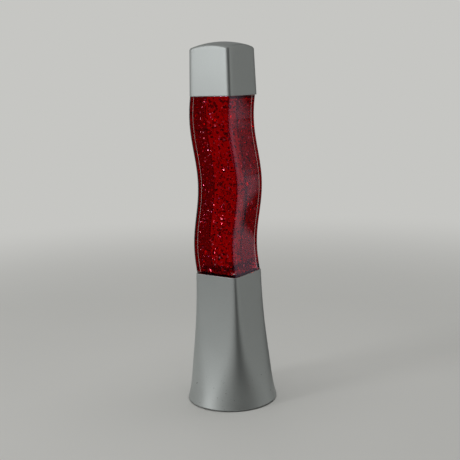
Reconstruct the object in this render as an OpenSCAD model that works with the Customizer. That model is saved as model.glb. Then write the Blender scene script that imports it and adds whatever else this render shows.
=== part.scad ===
// Glitter lamp: a flared base, a swaying square bottle of red glitter liquid and a loose domed cap.
// Z points up from the table, the front faces -Y and the cord enters at the back, from +Y.

/* [Lamp] */
// Height from the table to the top of the dome
lamp_h = 400; // [385:1:430]
// Width of the square section at the rims of the base and the cap
section_w = 54.6; // [53:0.2:60]
// Squareness of that section, where 2 is a circle
section_n = 15; // [8:1:20]
// Width of the lips inside both rims
lip_w = 4; // [3.4:0.1:4.6]
// Thickness of both lips
lip_t = 3; // [2:0.1:5]

/* [Base] */
// Height of the base rim above the table
base_h = 147.5; // [142:0.5:165]
// Diameter of the round foot
base_d = 102; // [96:0.5:114]
// Straight taper of each side from the rim to the foot
base_taper = 4.6; // [3:0.2:7]
// Power of the flare near the foot
flare_power = 2.6; // [2.2:0.1:3.2]
// Power with which the section turns from round to square
square_power = 1.8; // [1.2:0.1:2.2]
// Wall of the base shell
base_wall = 2.2; // [1.6:0.1:3]
// Gap between the lower edge of the shell and the table
edge_gap = 1.2; // [0.6:0.1:2]
// Radius of the screw pillars inside the shell
pillar_r = 4; // [3.4:0.1:5]
// Height of the screw pillars
pillar_h = 44; // [36:1:50]

/* [Underside] */
// Thickness of the base plate
plate_t = 2.5; // [2:0.1:4]
// Height of the rubber feet
foot_h = 4; // [3.2:0.1:6]
// Radius of the rubber feet
foot_r = 5; // [4:0.1:6]
// Distance of the rubber feet from the axis
foot_at = 37; // [35:0.5:38]
// Width of the vent slots
slot_w = 3; // [2:0.1:3.6]
// Length of the vent slots
slot_l = 30; // [20:1:34]
// Spacing of the vent slots
slot_step = 5.5; // [5:0.1:6]

/* [Cord inlet] */
// Height of the cord inlet in the rear wall
inlet_z = 18; // [16:0.5:24]
// Radius of the bore for the cord
inlet_r = 3.2; // [2.4:0.1:3.6]
// Wall of the rubber grommet
grommet_wall = 2.1; // [1.6:0.1:2.4]
// Width of the grommet's flanges
flange_w = 2; // [1:0.1:2.4]
// Thickness of the grommet's flanges
flange_t = 1.6; // [1:0.1:2]
// Length of the grommet's nose
nose_l = 1.8; // [1:0.1:2.4]

/* [Bottle] */
// Distance of the bottle's sides inside the rims
bottle_inset = 1; // [0.6:0.05:1.6]
// Squareness of the bottle
bottle_n = 20; // [10:1:24]
// Wall of the bottle
bottle_wall = 2.5; // [1.6:0.1:3]
// Sideways sway of the bottle each way
sway = 4.2; // [2:0.1:5]
// Height of one full wave of the sway
wave_l = 142; // [125:1:160]
// Height of the wave's crest above the base rim
crest_h = 100; // [94:0.5:106]
// Offset of the middle of the sway from the axis
sway_offset = 1.2; // [0.8:0.05:1.4]
// Depth of the bottle's foot inside the base
spigot_l = 18; // [12:0.5:22]
// Height of the bottle's head inside the cap
head_l = 10; // [6:0.5:12]
// Air space above the liquid
air_gap = 1; // [0.5:0.1:2]

/* [Glitter] */
// Number of flakes
flake_count = 160; // [80:1:240]
// Width of a flake across its corners
flake_d = 1.8; // [1:0.1:2.4]
// Thickness of a flake
flake_t = 0.15; // [0.1:0.05:0.3]

/* [Neck] */
// Height of the sloping shoulder under the neck
shoulder_h = 6; // [4:0.5:7]
// Radius of the neck
neck_r = 11.5; // [10.5:0.1:12]
// Radius of the bore of the neck
neck_bore_r = 8.5; // [7:0.1:9]
// Length of the neck above the shoulder
neck_l = 16; // [14:0.5:18]
// Radius of the bead round the mouth of the neck
bead_r = 13.2; // [12.6:0.1:13.6]
// Height of the bead
bead_h = 4; // [3:0.1:5]
// Thickness of the crown cap's sheet
crown_t = 0.8; // [0.6:0.05:1]
// Height of the crown cap's skirt
crown_h = 6; // [5:0.1:7]
// Flare of the crown cap's skirt
crown_flare = 1.8; // [1:0.1:2.4]
// Thickness of the sealing liner
liner_t = 0.8; // [0.5:0.1:1.5]

/* [Cap] */
// Height of the cap from its rim to the top of the dome
cap_h = 57.3; // [55:0.1:64]
// Inward taper of each side of the cap
cap_taper = 1.2; // [0:0.1:2.4]
// Radius of the domed top
dome_r = 82; // [70:1:140]
// Rounding between the dome and the sides
edge_r = 1.6; // [1:0.1:2.4]
// Wall of the cap
cap_wall = 2; // [1.4:0.1:3]

/* [Bulb] */
// Diameter of the bulb
bulb_d = 39; // [36:0.5:40]
// Length of the bulb from its contact to its crown
bulb_l = 67; // [64:0.5:70]
// Space between the bulb and the bottle
bulb_gap = 16; // [13:0.5:18]
// Height of the bulb's domed crown
bulb_dome_l = 15; // [13:0.5:17]
// Height of the bulb's cap above its contact
bulb_cap_l = 24; // [22:0.5:25]
// Height of the lowest thread above the contact
thread_low = 6; // [5.5:0.1:6.5]
// Thickness of the contact
tip_t = 1; // [0.8:0.1:1.2]
// Height of the seal in the bulb's neck above the contact
seal_l = 14; // [13:0.5:15]
// Height of the stem inside the bulb above the contact
stem_l = 36; // [33:0.5:37]
// Height of the filament above the contact
filament_l = 46; // [44:0.5:49]
// Outer diameter of the bulb's thread
thread_d = 13.9; // [13:0.1:14.6]
// Pitch of the thread
thread_pitch = 2.82; // [2.4:0.02:3.2]
// Depth of the thread
thread_h = 0.8; // [0.5:0.05:0.9]
// Thickness of the bulb's glass
glass_t = 0.8; // [0.5:0.1:1]
// Radius of the filament's arc
filament_r = 8; // [6:0.5:10]
// Radius of the filament's wire
filament_wire_r = 0.25; // [0.2:0.05:0.4]

/* [Lampholder] */
// Outer radius of the lampholder
holder_r = 14; // [13.4:0.1:14.6]
// Wall of the lampholder
holder_wall = 2; // [1.6:0.1:2.2]
// Depth of the lampholder below the bulb's contact
holder_below = 12; // [11:0.5:14]
// Thickness of the lampholder's floor
holder_floor = 6; // [5:0.5:7]
// Height of the lampholder's dome above the bulb's contact
dome_l = 6; // [5.5:0.1:6.5]
// Height of its core above the bulb's contact
insert_l = 11; // [10:0.1:12]
// Height of its barrel above the bulb's contact
skirt_l = 28; // [26:0.5:30]
// Height of the sprung contact's tongue
tongue_h = 1.8; // [1.4:0.1:2.2]
// Height of the sprung contact's tail
tail_h = 4; // [3.6:0.1:4.4]
// Width of the sprung contact's strip
strip_w = 4; // [3:0.1:5]
// Thickness of that strip
strip_t = 0.5; // [0.3:0.05:0.6]
// Thickness of the sheet of the screw shell
shell_t = 0.4; // [0.3:0.05:0.6]
// Width of the flange that carries the heat shield
rest_w = 3; // [2.4:0.1:3.4]
// Thickness of that flange
rest_t = 2; // [1.5:0.1:3]
// Width of the ring that clamps the heat shield
ring_w = 4; // [3:0.1:4.6]
// Height of the clamping ring
ring_h = 6; // [4:0.5:8]
// Thickness of the heat shield's sheet
shield_t = 0.6; // [0.4:0.1:1]
// Radius of the vent holes in the heat shield
vent_r = 1.2; // [0.8:0.1:1.3]

/* [Bracket] */
// Width of the bracket between the outsides of its legs
bracket_w = 40; // [36:0.5:41]
// Depth of the bracket
bracket_d = 22; // [18:0.5:24]
// Length of the bracket's feet
bracket_foot = 12; // [11:0.5:12.5]
// Thickness of the bracket's sheet
bracket_t = 1.5; // [1:0.1:2]
// Radius of the threaded nipple
nipple_r = 5; // [4.6:0.1:5.4]
// Radius of the wire way through the nipple
nipple_bore_r = 3.6; // [3:0.1:3.8]
// Height of the nipple's nut
nipple_nut_h = 4; // [3:0.5:6]

/* [Screws] */
// Radius of the plate screws
plate_screw_r = 1.45; // [1.2:0.05:1.8]
// Length of the plate screws above the plate's underside
plate_screw_l = 14; // [10:0.5:20]
// Radius of the bracket screws
bracket_screw_r = 1.95; // [1.6:0.05:2.2]
// Height of the bracket nuts
bracket_nut_h = 3.2; // [2.4:0.1:4]
// Radius of the terminal screws
terminal_r = 1.5; // [1.2:0.1:1.7]

/* [Clearances] */
// Gap round the bottle's foot and head in their lips
spigot_gap = 0.6; // [0.4:0.05:0.9]
// Gap between the base plate and the shell
plate_gap = 0.5; // [0.3:0.05:0.8]
// Gap between the liquid and the bottle
liquid_gap = 0.15; // [0.1:0.05:0.3]
// Gap round the bulb's thread
thread_gap = 0.25; // [0.2:0.05:0.4]
// Gap between the bulb's contact and the sprung contact
contact_gap = 0.2; // [0.1:0.05:0.4]
// Gap between the crown cap and the bead of the neck
crown_gap = 0.3; // [0.2:0.05:0.5]
// Gap round screws and fitted round pieces
fit_gap = 0.1; // [0.05:0.05:0.2]
// Gap between the grommet's flange and the curved wall
seat_gap = 0.3; // [0.2:0.05:0.5]

/* [Hidden] */
$fn = 64;

// Counts of points along a side and round a section, and of sections along the lofted pieces
side_n = 10;
ring_n = 4*side_n;
base_levels = 18;
wave_levels = 26;
crown_flutes = 21;
shield_vents = 12;
ring_grips = 24;

// Heights of the main pieces
half_w = section_w/2;
mouth_a = half_w - lip_w;
spigot_a = mouth_a - spigot_gap;
bottle_a = half_w - bottle_inset;
cap_z = lamp_h - cap_h;
bottle_foot_z = base_h - spigot_l;
head_z = cap_z + head_l;
neck_z = head_z + shoulder_h;
mouth_z = neck_z + neck_l;
plate_z = foot_h + plate_t;

// Heights of the bulb and its holder, which hang together below the bottle
tip_z = bottle_foot_z - bulb_gap - bulb_l;
holder_z = tip_z - holder_below;
holder_floor_z = holder_z + holder_floor;
well_z = tip_z - contact_gap - tongue_h;
dome_top_z = tip_z + dome_l;
rest_z = dome_top_z + rest_t;
shield_z = rest_z + rest_t;
skirt_top_z = tip_z + skirt_l;
insert_top_z = tip_z + insert_l;
shell_z = dome_top_z - holder_wall/2;
shield_top_z = bottle_foot_z - 3.5;

// Radii that follow the thread
shell_in_r = thread_d/2 + thread_gap;
shell_out_r = shell_in_r + shell_t;
well_r = shell_out_r + fit_gap;
insert_r = holder_r - holder_wall - fit_gap;
bulb_neck_r = thread_d/2 - thread_h - 0.55;
shield_r = mouth_a - 0.3;

// Screw positions
head_h = 2;
pillar_z = plate_z + pillar_h;
pillar_at = base_corner(pillar_z, base_wall) - pillar_r + 1.5;
bracket_hole_x = bracket_w/2 - bracket_t + bracket_foot/2;

// The section of the base grows wider and rounder from the rim to the foot
function base_t(z) = (z - edge_gap)/(base_h - edge_gap);
function base_half(z) =
    half_w + base_taper*(1 - base_t(z))
    + (base_d/2 - half_w - base_taper)*pow(1 - base_t(z), flare_power);
function base_n(z) = 2 + (section_n - 2)*pow(base_t(z), square_power);
function base_corner(z, inset) = (base_half(z) - inset)*sqrt(2)*pow(2, -1/base_n(z));
function base_lean(z) = atan((base_half(z - 1) - base_half(z + 1))/2);

// The bottle's middle follows a wave from side to side
function sway_x(z) = sway_offset + sway*cos(360*(z - base_h - crest_h)/wave_l);

// Points along one side of a section, from -1 to 1, which crowd towards the corners as it gets squarer
function along_side(s, n) =
    sign(s)*((2/n)*sin(45*abs(s))/sin(45) + (1 - 2/n)*(1 - pow(1 - abs(s), 2.2)));

// Section between a circle and a square, of half-width a and squareness n
function section(a, n, z, x = 0) = [
    for (turn = [0:90:270], j = [0:side_n - 1])
        let (
            v = pow(2, -1/n)*along_side(2*j/side_n - 1, n),
            u = pow(1 - pow(abs(v), n), 1/n)
        )
            [
                x + a*(u*cos(turn) - v*sin(turn)),
                a*(u*sin(turn) + v*cos(turn)),
                z
            ]
];

// Skin over a list of sections, closed end to end or with a flat face at each end
module skin(rings, loop = false) {
    count = len(rings);
    sides = [
        for (k = [0:loop ? count - 1 : count - 2], i = [0:ring_n - 1])
            let (
                j = (i + 1) % ring_n,
                low = k*ring_n,
                high = ((k + 1) % count)*ring_n
            )
                each [[low + i, high + j, low + j], [low + i, high + i, high + j]]
    ];
    first = [for (i = [0:ring_n - 1]) i];
    last = [for (i = [ring_n - 1:-1:0]) (count - 1)*ring_n + i];
    polyhedron(
        points = [for (ring = rings) each ring],
        faces = loop ? sides : concat(sides, [first, last])
    );
}

// Pan-head screw with its head below zero and a cross recess in it
module pan_screw(r, l) {
    difference() {
        union() {
            translate([0, 0, -head_h])
                cylinder(r1 = 1.8*r, r2 = 2.2*r, h = head_h);
            cylinder(r = r, h = l);
        }
        for (turn = [0, 90])
            rotate(turn)
                translate([-1.1*r, -0.25*r, -head_h - 1])
                    cube([2.2*r, 0.5*r, 2]);
    }
}

module hex_nut(bore_r, across, h) {
    difference() {
        cylinder(d = across/cos(30), h = h, $fn = 6);
        translate([0, 0, -1])
            cylinder(r = bore_r, h = h + 2);
    }
}

module at_pillars() {
    for (turn = [45:90:315])
        rotate(turn)
            translate([pillar_at, 0, 0])
                children();
}

module at_bracket_holes() {
    for (side = [-1, 1])
        translate([side*bracket_hole_x, 0, 0])
            children();
}

// Local Z leaves the rear wall square to it, with zero on the wall's outer face
module at_inlet() {
    translate([0, base_half(inlet_z), inlet_z])
        rotate([base_lean(inlet_z) - 90, 0, 0])
            children();
}

module base_shell() {
    inner_h = base_h - lip_t - edge_gap;
    outer = [
        for (k = [0:base_levels])
            let (z = edge_gap + (base_h - edge_gap)*pow(k/base_levels, 1.4))
                section(base_half(z), base_n(z), z)
    ];
    inner = [
        for (k = [base_levels:-1:0])
            let (z = edge_gap + inner_h*pow(k/base_levels, 1.4))
                section(base_half(z) - base_wall, base_n(z), z)
    ];
    lip = [
        section(mouth_a, section_n, base_h),
        section(mouth_a, section_n, base_h - lip_t)
    ];
    color([0.66, 0.68, 0.67])
        difference() {
            union() {
                skin(concat(outer, lip, inner), loop = true);
                at_pillars()
                    translate([0, 0, plate_z])
                        cylinder(r = pillar_r, h = pillar_h);
            }
            at_pillars()
                translate([0, 0, plate_z - 1])
                    cylinder(r = plate_screw_r + fit_gap/2, h = plate_screw_l + 1);
            at_inlet()
                translate([0, 0, -3*base_wall])
                    cylinder(r = inlet_r + grommet_wall + fit_gap, h = 6*base_wall);
        }
}

module base_plate() {
    color([0.1, 0.1, 0.11])
        difference() {
            translate([0, 0, foot_h])
                cylinder(r = base_half(plate_z) - base_wall - plate_gap, h = plate_t);
            at_pillars()
                cylinder(r = plate_screw_r + fit_gap, h = plate_z + 1);
            at_bracket_holes()
                cylinder(r = bracket_screw_r + fit_gap, h = plate_z + 1);
            for (side = [-1, 1], k = [0:2])
                translate([
                    -slot_l/2,
                    side*(bracket_d/2 + slot_step*(k + 0.9)) - slot_w/2,
                    foot_h - 1
                ])
                    cube([slot_l, slot_w, plate_t + 2]);
        }
}

module plate_screws() {
    color([0.62, 0.63, 0.64])
        at_pillars()
            translate([0, 0, foot_h])
                pan_screw(plate_screw_r, plate_screw_l);
}

module rubber_feet() {
    color([0.07, 0.07, 0.07])
        for (turn = [0:90:270])
            rotate(turn)
                translate([foot_at, 0, 0])
                    cylinder(r1 = foot_r - 0.6, r2 = foot_r, h = foot_h);
}

module cord_grommet() {
    body_r = inlet_r + grommet_wall;
    rim_r = body_r + flange_w;
    outer_z = seat_gap + flange_t;
    inner_z = -base_wall - 0.8;
    color([0.08, 0.08, 0.08])
        at_inlet()
            rotate_extrude()
                polygon([
                    [inlet_r, inner_z - flange_t],
                    [rim_r, inner_z - flange_t],
                    [rim_r, inner_z],
                    [body_r, inner_z],
                    [body_r, seat_gap],
                    [rim_r, seat_gap],
                    [rim_r, outer_z],
                    [body_r, outer_z],
                    [body_r - 0.6, outer_z + nose_l],
                    [inlet_r, outer_z + nose_l]
                ]);
}

module holder_bracket() {
    leg_x = bracket_w/2;
    outline = [
        [-leg_x + bracket_t - bracket_foot, plate_z],
        [-leg_x + bracket_t, plate_z],
        [-leg_x + bracket_t, holder_z - bracket_t],
        [leg_x - bracket_t, holder_z - bracket_t],
        [leg_x - bracket_t, plate_z],
        [leg_x - bracket_t + bracket_foot, plate_z],
        [leg_x - bracket_t + bracket_foot, plate_z + bracket_t],
        [leg_x, plate_z + bracket_t],
        [leg_x, holder_z],
        [-leg_x, holder_z],
        [-leg_x, plate_z + bracket_t],
        [-leg_x + bracket_t - bracket_foot, plate_z + bracket_t]
    ];
    color([0.7, 0.71, 0.72])
        difference() {
            rotate([90, 0, 0])
                linear_extrude(bracket_d, center = true)
                    polygon(outline);
            translate([0, 0, holder_z - bracket_t - 1])
                cylinder(r = nipple_r + fit_gap, h = bracket_t + 2);
            at_bracket_holes()
                cylinder(r = bracket_screw_r + fit_gap, h = plate_z + bracket_t + 1);
        }
}

module bracket_screws() {
    color([0.62, 0.63, 0.64])
        at_bracket_holes()
            translate([0, 0, foot_h])
                pan_screw(bracket_screw_r, plate_t + bracket_t + bracket_nut_h + 1);
}

module bracket_nuts() {
    color([0.66, 0.67, 0.68])
        at_bracket_holes()
            translate([0, 0, plate_z + bracket_t])
                hex_nut(bracket_screw_r + fit_gap/2, 3.6*bracket_screw_r, bracket_nut_h);
}

module threaded_nipple() {
    low_z = holder_z - bracket_t - nipple_nut_h - 1;
    color([0.75, 0.76, 0.77])
        difference() {
            translate([0, 0, low_z])
                cylinder(r = nipple_r, h = holder_floor_z - low_z);
            translate([0, 0, low_z - 1])
                cylinder(r = nipple_bore_r, h = holder_floor_z - low_z + 2);
        }
}

module nipple_nut() {
    color([0.66, 0.67, 0.68])
        translate([0, 0, holder_z - bracket_t - nipple_nut_h])
            hex_nut(nipple_r + fit_gap/2, 2.8*nipple_r, nipple_nut_h);
}

// Cup that screws on the nipple and closes the holder from below
module holder_dome() {
    color([0.09, 0.09, 0.1])
        rotate_extrude()
            polygon([
                [nipple_r + fit_gap/2, holder_z],
                [holder_r - 1.5*holder_wall, holder_z],
                [holder_r, holder_z + 1.5*holder_wall],
                [holder_r, dome_top_z],
                [holder_r - holder_wall, dome_top_z],
                [holder_r - holder_wall, holder_floor_z],
                [nipple_r + fit_gap/2, holder_floor_z]
            ]);
}

// Core that carries the contacts, with two wire ways up from the nipple
module holder_insert() {
    color([0.85, 0.83, 0.78])
        difference() {
            translate([0, 0, holder_floor_z])
                cylinder(r = insert_r, h = insert_top_z - holder_floor_z);
            translate([0, 0, well_z])
                cylinder(r = well_r, h = insert_top_z - well_z + 1);
            for (side = [-1, 1])
                translate([0, side*(nipple_bore_r - 1.4), holder_floor_z - 1])
                    cylinder(r = 1.2, h = well_z - holder_floor_z + 2);
            at_terminals()
                cylinder(r = terminal_r + fit_gap/2, h = insert_r);
        }
}

// One terminal bears on the screw shell and the other on the tail of the centre contact
module at_terminals() {
    translate([0, 0, (shell_z + insert_top_z)/2])
        rotate([0, 90, 0])
            children();
    translate([0, 0, well_z + 0.55*tail_h])
        rotate([0, -90, 0])
            children();
}

module terminal_screws() {
    color([0.78, 0.66, 0.36])
        at_terminals()
            translate([0, 0, well_r])
                difference() {
                    cylinder(r = terminal_r, h = insert_r - well_r - 0.4);
                    translate([-terminal_r, -0.25, insert_r - well_r - 1])
                        cube([2*terminal_r, 0.5, 1]);
                }
}

module screw_shell() {
    color([0.82, 0.7, 0.42])
        difference() {
            translate([0, 0, shell_z])
                cylinder(r = shell_out_r, h = skirt_top_z - holder_wall - shell_z);
            translate([0, 0, shell_z - 1])
                cylinder(r = shell_in_r, h = skirt_top_z - holder_wall - shell_z + 2);
        }
}

// Springy strip with a tail at its terminal and a raised tongue under the bulb's contact
module centre_contact() {
    tail_x = fit_gap - sqrt(well_r*well_r - strip_w*strip_w/4);
    top_z = tip_z - contact_gap;
    color([0.82, 0.7, 0.42])
        rotate([90, 0, 0])
            linear_extrude(strip_w, center = true)
                polygon([
                    [tail_x, well_z],
                    [-0.4*strip_w, well_z],
                    [-0.1*strip_w, top_z - strip_t],
                    [0.45*strip_w, top_z - strip_t],
                    [0.45*strip_w, top_z],
                    [-0.2*strip_w, top_z],
                    [-0.5*strip_w, well_z + strip_t],
                    [tail_x + strip_t, well_z + strip_t],
                    [tail_x + strip_t, well_z + tail_h],
                    [tail_x, well_z + tail_h]
                ]);
}

// Barrel that screws down on the dome and carries the heat shield on its flange
module holder_skirt() {
    sleeve_r = shell_out_r + fit_gap;
    color([0.09, 0.09, 0.1])
        rotate_extrude()
            polygon([
                [holder_r - holder_wall, dome_top_z],
                [holder_r, dome_top_z],
                [holder_r, rest_z - rest_t/2],
                [holder_r + rest_w, rest_z],
                [holder_r + rest_w, shield_z],
                [holder_r, shield_z],
                [holder_r, skirt_top_z - holder_wall/2],
                [holder_r - holder_wall/2, skirt_top_z],
                [sleeve_r, skirt_top_z],
                [sleeve_r, insert_top_z],
                [holder_r - holder_wall, insert_top_z]
            ]);
}

// Open sheet-metal cup round the bulb, with vents in its floor
module heat_shield() {
    vent_at = (holder_r + fit_gap + ring_w + shield_r - shield_t)/2;
    color([0.8, 0.81, 0.82])
        difference() {
            rotate_extrude()
                polygon([
                    [holder_r + fit_gap, shield_z],
                    [shield_r, shield_z],
                    [shield_r, shield_top_z],
                    [shield_r - shield_t, shield_top_z],
                    [shield_r - shield_t, shield_z + shield_t],
                    [holder_r + fit_gap, shield_z + shield_t]
                ]);
            for (k = [0:shield_vents - 1])
                rotate(360*k/shield_vents)
                    translate([vent_at, 0, shield_z - 1])
                        cylinder(r = vent_r, h = shield_t + 2);
        }
}

module shade_ring() {
    outer_r = holder_r + fit_gap + ring_w;
    color([0.12, 0.12, 0.13])
        translate([0, 0, shield_z + shield_t])
            difference() {
                cylinder(r = outer_r, h = ring_h);
                translate([0, 0, -1])
                    cylinder(r = holder_r + fit_gap, h = ring_h + 2);
                for (k = [0:ring_grips - 1])
                    rotate(360*k/ring_grips)
                        translate([outer_r + 0.3, 0, 1])
                            cylinder(r = 0.8, h = ring_h);
            }
}

module bulb_contact() {
    color([0.75, 0.75, 0.74])
        translate([0, 0, tip_z])
            cylinder(r1 = 1.8, r2 = 2.4, h = tip_t);
}

module bulb_insulator() {
    seat_r = bulb_neck_r - 0.7;
    color([0.06, 0.05, 0.05])
        translate([0, 0, tip_z])
            rotate_extrude()
                polygon([
                    [0, tip_t],
                    [2.6, tip_t],
                    [seat_r, thread_low - 2],
                    [seat_r, thread_low + 1],
                    [0, thread_low + 1]
                ]);
}

// Rolled cap whose thread is drawn as its ridges in section
module bulb_cap() {
    steps = 6*floor((bulb_cap_l - 4 - thread_low)/thread_pitch);
    ridges = [
        for (k = [0:steps])
            [
                thread_d/2 - thread_h*(1 - cos(60*k))/2,
                thread_low + k*thread_pitch/6
            ]
    ];
    inner_r = bulb_neck_r + 0.2;
    turned_r = bulb_neck_r - 0.65;
    color([0.76, 0.75, 0.72])
        translate([0, 0, tip_z])
            rotate_extrude()
                polygon(concat(
                    [[turned_r, thread_low - 1], [bulb_neck_r, thread_low - 1]],
                    ridges,
                    [
                        [thread_d/2 - thread_h, bulb_cap_l - 3],
                        [thread_d/2 - thread_h, bulb_cap_l],
                        [inner_r, bulb_cap_l],
                        [inner_r, thread_low + 1.5],
                        [turned_r, thread_low + 0.4]
                    ]
                ));
}

// Outline of the bulb, drawn in by a wall, from the neck up to the crown
function bulb_outline(inset) =
    let (
        belly_r = bulb_d/2 - inset,
        throat_r = bulb_neck_r - inset,
        belly_z = bulb_l - bulb_dome_l,
        crown = bulb_l - belly_z - inset
    )
        concat(
            [[throat_r, seal_l]],
            [
                for (k = [0:10])
                    [
                        throat_r + (belly_r - throat_r)*(1 - cos(18*k))/2,
                        bulb_cap_l + (belly_z - bulb_cap_l)*k/10
                    ]
            ],
            [for (k = [1:8]) [k == 8 ? 0 : belly_r*cos(11.25*k), belly_z + crown*sin(11.25*k)]]
        );

module bulb_glass() {
    outer = bulb_outline(0);
    inner = bulb_outline(glass_t);
    color([0.85, 0.86, 0.86, 0.5])
        translate([0, 0, tip_z])
            rotate_extrude()
                polygon(concat(outer, [for (k = [len(inner) - 1:-1:0]) inner[k]]));
}

module bulb_stem() {
    foot = bulb_neck_r - glass_t - fit_gap;
    color([0.85, 0.88, 0.88, 0.6])
        translate([0, 0, tip_z])
            rotate_extrude()
                polygon([
                    [0, seal_l],
                    [foot, seal_l],
                    [foot, seal_l + 1],
                    [2.2, seal_l + 8],
                    [1.6, stem_l],
                    [0, stem_l]
                ]);
}

module support_wires() {
    wire_t = 0.6;
    color([0.6, 0.6, 0.6])
        for (side = [0, 180])
            rotate(side)
                translate([0, 0, tip_z])
                    rotate([90, 0, 0])
                        linear_extrude(wire_t, center = true)
                            polygon([
                                [wire_t, stem_l],
                                [2*wire_t, stem_l],
                                [2*wire_t, stem_l + 3],
                                [filament_r + wire_t/2, filament_l - 1],
                                [filament_r + wire_t/2, filament_l],
                                [filament_r - wire_t/2, filament_l],
                                [filament_r - wire_t/2, filament_l - wire_t],
                                [wire_t, stem_l + 3.4]
                            ]);
}

module filament() {
    color([0.45, 0.45, 0.46])
        translate([0, 0, tip_z + filament_l + filament_wire_r + 0.05])
            rotate_extrude(angle = 180)
                translate([filament_r, 0])
                    circle(r = filament_wire_r);
}

// Sections of the bottle's swaying body, drawn in by a wall at its sides and both ends
function body_rings(inset) = [
    for (k = [0:wave_levels])
        let (z = base_h + inset + (cap_z - base_h - 2*inset)*k/wave_levels)
            section(bottle_a - inset, bottle_n, z, sway_x(z))
];

module bottle() {
    cavity = body_rings(bottle_wall);
    hollow_a = spigot_a - bottle_wall;
    color([0.9, 0.92, 0.92, 0.25])
        skin(concat(
            [
                section(spigot_a - 1, section_n, bottle_foot_z),
                section(spigot_a, section_n, bottle_foot_z + 1),
                section(spigot_a, section_n, base_h)
            ],
            body_rings(0),
            [
                section(spigot_a, section_n, cap_z),
                section(spigot_a, section_n, head_z),
                section((spigot_a + neck_r)/2, 4, head_z + 0.6*shoulder_h),
                section(neck_r, 2, neck_z),
                section(neck_r, 2, mouth_z - bead_h - 1),
                section(bead_r, 2, mouth_z - bead_h),
                section(bead_r, 2, mouth_z),
                section(neck_bore_r, 2, mouth_z),
                section(neck_bore_r, 2, neck_z - bottle_wall),
                section(hollow_a, section_n, head_z - bottle_wall),
                section(hollow_a, section_n, cap_z - bottle_wall)
            ],
            [for (k = [wave_levels:-1:0]) cavity[k]],
            [
                section(hollow_a, section_n, base_h + bottle_wall),
                section(hollow_a, section_n, bottle_foot_z + bottle_wall)
            ]
        ));
}

module red_liquid() {
    inset = bottle_wall + liquid_gap;
    column_a = spigot_a - inset;
    color([0.6, 0.01, 0.02, 0.7])
        skin(concat(
            [
                section(column_a, section_n, bottle_foot_z + inset),
                section(column_a, section_n, base_h + inset)
            ],
            body_rings(inset),
            [
                section(column_a, section_n, cap_z - inset),
                section(column_a, section_n, head_z - bottle_wall - air_gap)
            ]
        ));
}

// Flakes spread evenly through the body by steps that never fall in line
module glitter() {
    room_a = bottle_a - bottle_wall - liquid_gap - flake_d;
    low_z = base_h + bottle_wall + flake_d;
    room_h = cap_z - base_h - 2*(bottle_wall + flake_d);
    color([0.95, 0.55, 0.58])
        for (i = [1:flake_count])
            let (z = low_z + room_h*part_of(i*0.5497))
                translate([
                    sway_x(z) + room_a*(2*part_of(i*0.8192) - 1),
                    room_a*(2*part_of(i*0.671) - 1),
                    z
                ])
                    rotate([180*part_of(i*0.618), 0, 360*part_of(i*0.414)])
                        cylinder(d = flake_d, h = flake_t, center = true, $fn = 6);
}

function part_of(v) = v - floor(v);

module crown_cap() {
    seat_z = mouth_z + liner_t;
    low_z = seat_z + crown_t - crown_h;
    grip_r = bead_r + crown_gap;
    skirt_r = grip_r + crown_t + crown_flare;
    color([0.78, 0.79, 0.8])
        difference() {
            rotate_extrude()
                polygon([
                    [0, seat_z],
                    [grip_r, seat_z],
                    [grip_r, mouth_z - 0.5],
                    [skirt_r - crown_t, low_z],
                    [skirt_r, low_z],
                    [grip_r + crown_t, mouth_z],
                    [grip_r - 0.4, seat_z + crown_t],
                    [0, seat_z + crown_t]
                ]);
            for (k = [0:crown_flutes - 1])
                rotate(360*k/crown_flutes)
                    translate([skirt_r + 0.5, 0, low_z - 1])
                        cylinder(r = 1, h = crown_h);
        }
}

module crown_liner() {
    color([0.85, 0.85, 0.82])
        translate([0, 0, mouth_z])
            cylinder(r = bead_r - 0.2, h = liner_t);
}

// Section under the domed top, lowered by a drop; the innermost one is a circle
function dome_ring(a, n, r, drop) = [
    for (p = section(a, n, 0))
        [p[0], p[1], lamp_h - dome_r + sqrt(r*r - p[0]*p[0] - p[1]*p[1]) - drop]
];
function dome_rings(a, r, shares) = [
    for (u = shares)
        dome_ring(a*u, 2 + (section_n - 2)*(u - shares[0])/(1 - shares[0]), r, 0)
];

module top_cap() {
    top_a = half_w - cap_taper;
    lip_a = half_w - cap_taper*lip_t/cap_h - cap_wall;
    shares = [0.12, 0.35, 0.6, 0.82, 1];
    outer = dome_rings(top_a - edge_r, dome_r, shares);
    edge = [
        for (turn = [0:30:60])
            dome_ring(top_a - edge_r*(1 - cos(turn)), section_n, dome_r, edge_r*(1 - sin(turn)))
    ];
    color([0.7, 0.72, 0.71])
        skin(concat(
            dome_rings(top_a - cap_wall, dome_r - cap_wall, shares),
            [
                section(lip_a, section_n, cap_z + lip_t),
                section(mouth_a, section_n, cap_z + lip_t),
                section(mouth_a, section_n, cap_z),
                section(half_w, section_n, cap_z)
            ],
            edge,
            [for (k = [len(outer) - 1:-1:0]) outer[k]]
        ));
}

base_shell();
base_plate();
plate_screws();
rubber_feet();
cord_grommet();
holder_bracket();
bracket_screws();
bracket_nuts();
threaded_nipple();
nipple_nut();
holder_dome();
holder_insert();
screw_shell();
centre_contact();
terminal_screws();
holder_skirt();
heat_shield();
shade_ring();
bulb_contact();
bulb_insulator();
bulb_cap();
bulb_glass();
bulb_stem();
support_wires();
filament();
bottle();
red_liquid();
glitter();
crown_cap();
crown_liner();
top_cap();
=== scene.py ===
import math
import random

import bmesh
import bpy
from mathutils import Euler, Matrix, Vector, noise


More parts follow.
